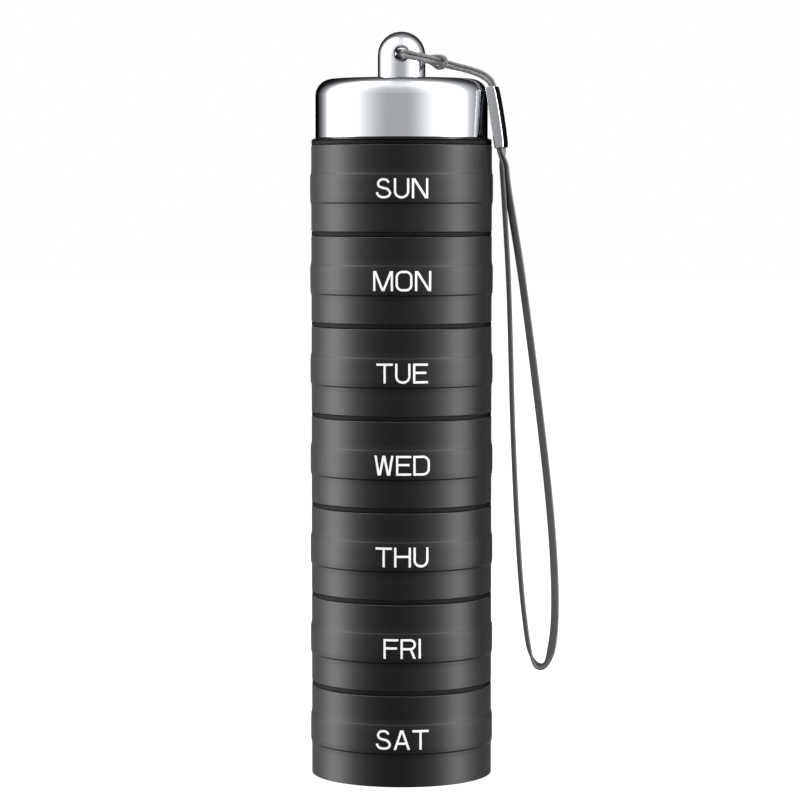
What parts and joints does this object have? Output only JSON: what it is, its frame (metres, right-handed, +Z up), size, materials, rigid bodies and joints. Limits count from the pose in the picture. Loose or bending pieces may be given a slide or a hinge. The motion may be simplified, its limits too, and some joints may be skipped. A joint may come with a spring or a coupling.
{
  "type": "weekly pill box",
  "caption": "Slim round pill tube of stacked screw-together cups, one a day, with a bright cap, a lanyard post and a ribbon wrist strap.",
  "frame": {"origin": "middle of the lowest cup's flat base, on the tube's axis", "axes": "+Z up along the tube to the lanyard post, the day marks face -Y, the strap hangs on the +X side"},
  "size_m": [0.0434, 0.032, 0.1302],
  "materials": {
    "cup": "satin black anodised",
    "seal": "matt black silicone",
    "plug": "smooth black",
    "bright_cap": "polished bright",
    "clip": "plain plated sheet",
    "cord": "twisted dark grey cord",
    "ribbon": "woven dark grey ribbon"
  },
  "bodies": {
    "base": {"cup_sat": "cup"},
    "ring_fri": {"seal_fri": "seal"},
    "fri": {"cup_fri": "cup"},
    "ring_thu": {"seal_thu": "seal"},
    "thu": {"cup_thu": "cup"},
    "ring_wed": {"seal_wed": "seal"},
    "wed": {"cup_wed": "cup"},
    "ring_tue": {"seal_tue": "seal"},
    "tue": {"cup_tue": "cup"},
    "ring_mon": {"seal_mon": "seal"},
    "mon": {"cup_mon": "cup"},
    "ring_sun": {"seal_sun": "seal"},
    "sun": {"cup_sun": "cup"},
    "ring_cap": {"seal_cap": "seal"},
    "cap": {"cap_plug": "plug", "cap_shell": "bright_cap", "lanyard_post": "bright_cap", "hitch_cord": "cord", "crimp_clip": "clip", "wrist_strap": "ribbon"}
  },
  "joints": [
    {"name": "lift_fri", "type": "slide", "parent": "base", "child": "ring_fri", "axis": [0, 0, 1], "range_m": [0, 0.012]},
    {"name": "turn_fri", "type": "hinge", "parent": "ring_fri", "child": "fri", "pos_m": [0, 0, 0], "axis": [0, 0, 1], "range_deg": [0, 1080]},
    {"name": "lift_thu", "type": "slide", "parent": "fri", "child": "ring_thu", "axis": [0, 0, 1], "range_m": [0, 0.012]},
    {"name": "turn_thu", "type": "hinge", "parent": "ring_thu", "child": "thu", "pos_m": [0, 0, 0], "axis": [0, 0, 1], "range_deg": [0, 1080]},
    {"name": "lift_wed", "type": "slide", "parent": "thu", "child": "ring_wed", "axis": [0, 0, 1], "range_m": [0, 0.012]},
    {"name": "turn_wed", "type": "hinge", "parent": "ring_wed", "child": "wed", "pos_m": [0, 0, 0], "axis": [0, 0, 1], "range_deg": [0, 1080]},
    {"name": "lift_tue", "type": "slide", "parent": "wed", "child": "ring_tue", "axis": [0, 0, 1], "range_m": [0, 0.012]},
    {"name": "turn_tue", "type": "hinge", "parent": "ring_tue", "child": "tue", "pos_m": [0, 0, 0], "axis": [0, 0, 1], "range_deg": [0, 1080]},
    {"name": "lift_mon", "type": "slide", "parent": "tue", "child": "ring_mon", "axis": [0, 0, 1], "range_m": [0, 0.012]},
    {"name": "turn_mon", "type": "hinge", "parent": "ring_mon", "child": "mon", "pos_m": [0, 0, 0], "axis": [0, 0, 1], "range_deg": [0, 1080]},
    {"name": "lift_sun", "type": "slide", "parent": "mon", "child": "ring_sun", "axis": [0, 0, 1], "range_m": [0, 0.012]},
    {"name": "turn_sun", "type": "hinge", "parent": "ring_sun", "child": "sun", "pos_m": [0, 0, 0], "axis": [0, 0, 1], "range_deg": [0, 1080]},
    {"name": "lift_cap", "type": "slide", "parent": "sun", "child": "ring_cap", "axis": [0, 0, 1], "range_m": [0, 0.012]},
    {"name": "turn_cap", "type": "hinge", "parent": "ring_cap", "child": "cap", "pos_m": [0, 0, 0], "axis": [0, 0, 1], "range_deg": [0, 1080]}
  ],
  "couplings": [
    {"joint": "lift_fri", "follows": "turn_fri", "m_per_rad": 0.00063662},
    {"joint": "lift_thu", "follows": "turn_thu", "m_per_rad": 0.00063662},
    {"joint": "lift_wed", "follows": "turn_wed", "m_per_rad": 0.00063662},
    {"joint": "lift_tue", "follows": "turn_tue", "m_per_rad": 0.00063662},
    {"joint": "lift_mon", "follows": "turn_mon", "m_per_rad": 0.00063662},
    {"joint": "lift_sun", "follows": "turn_sun", "m_per_rad": 0.00063662},
    {"joint": "lift_cap", "follows": "turn_cap", "m_per_rad": 0.00063662}
  ]
}
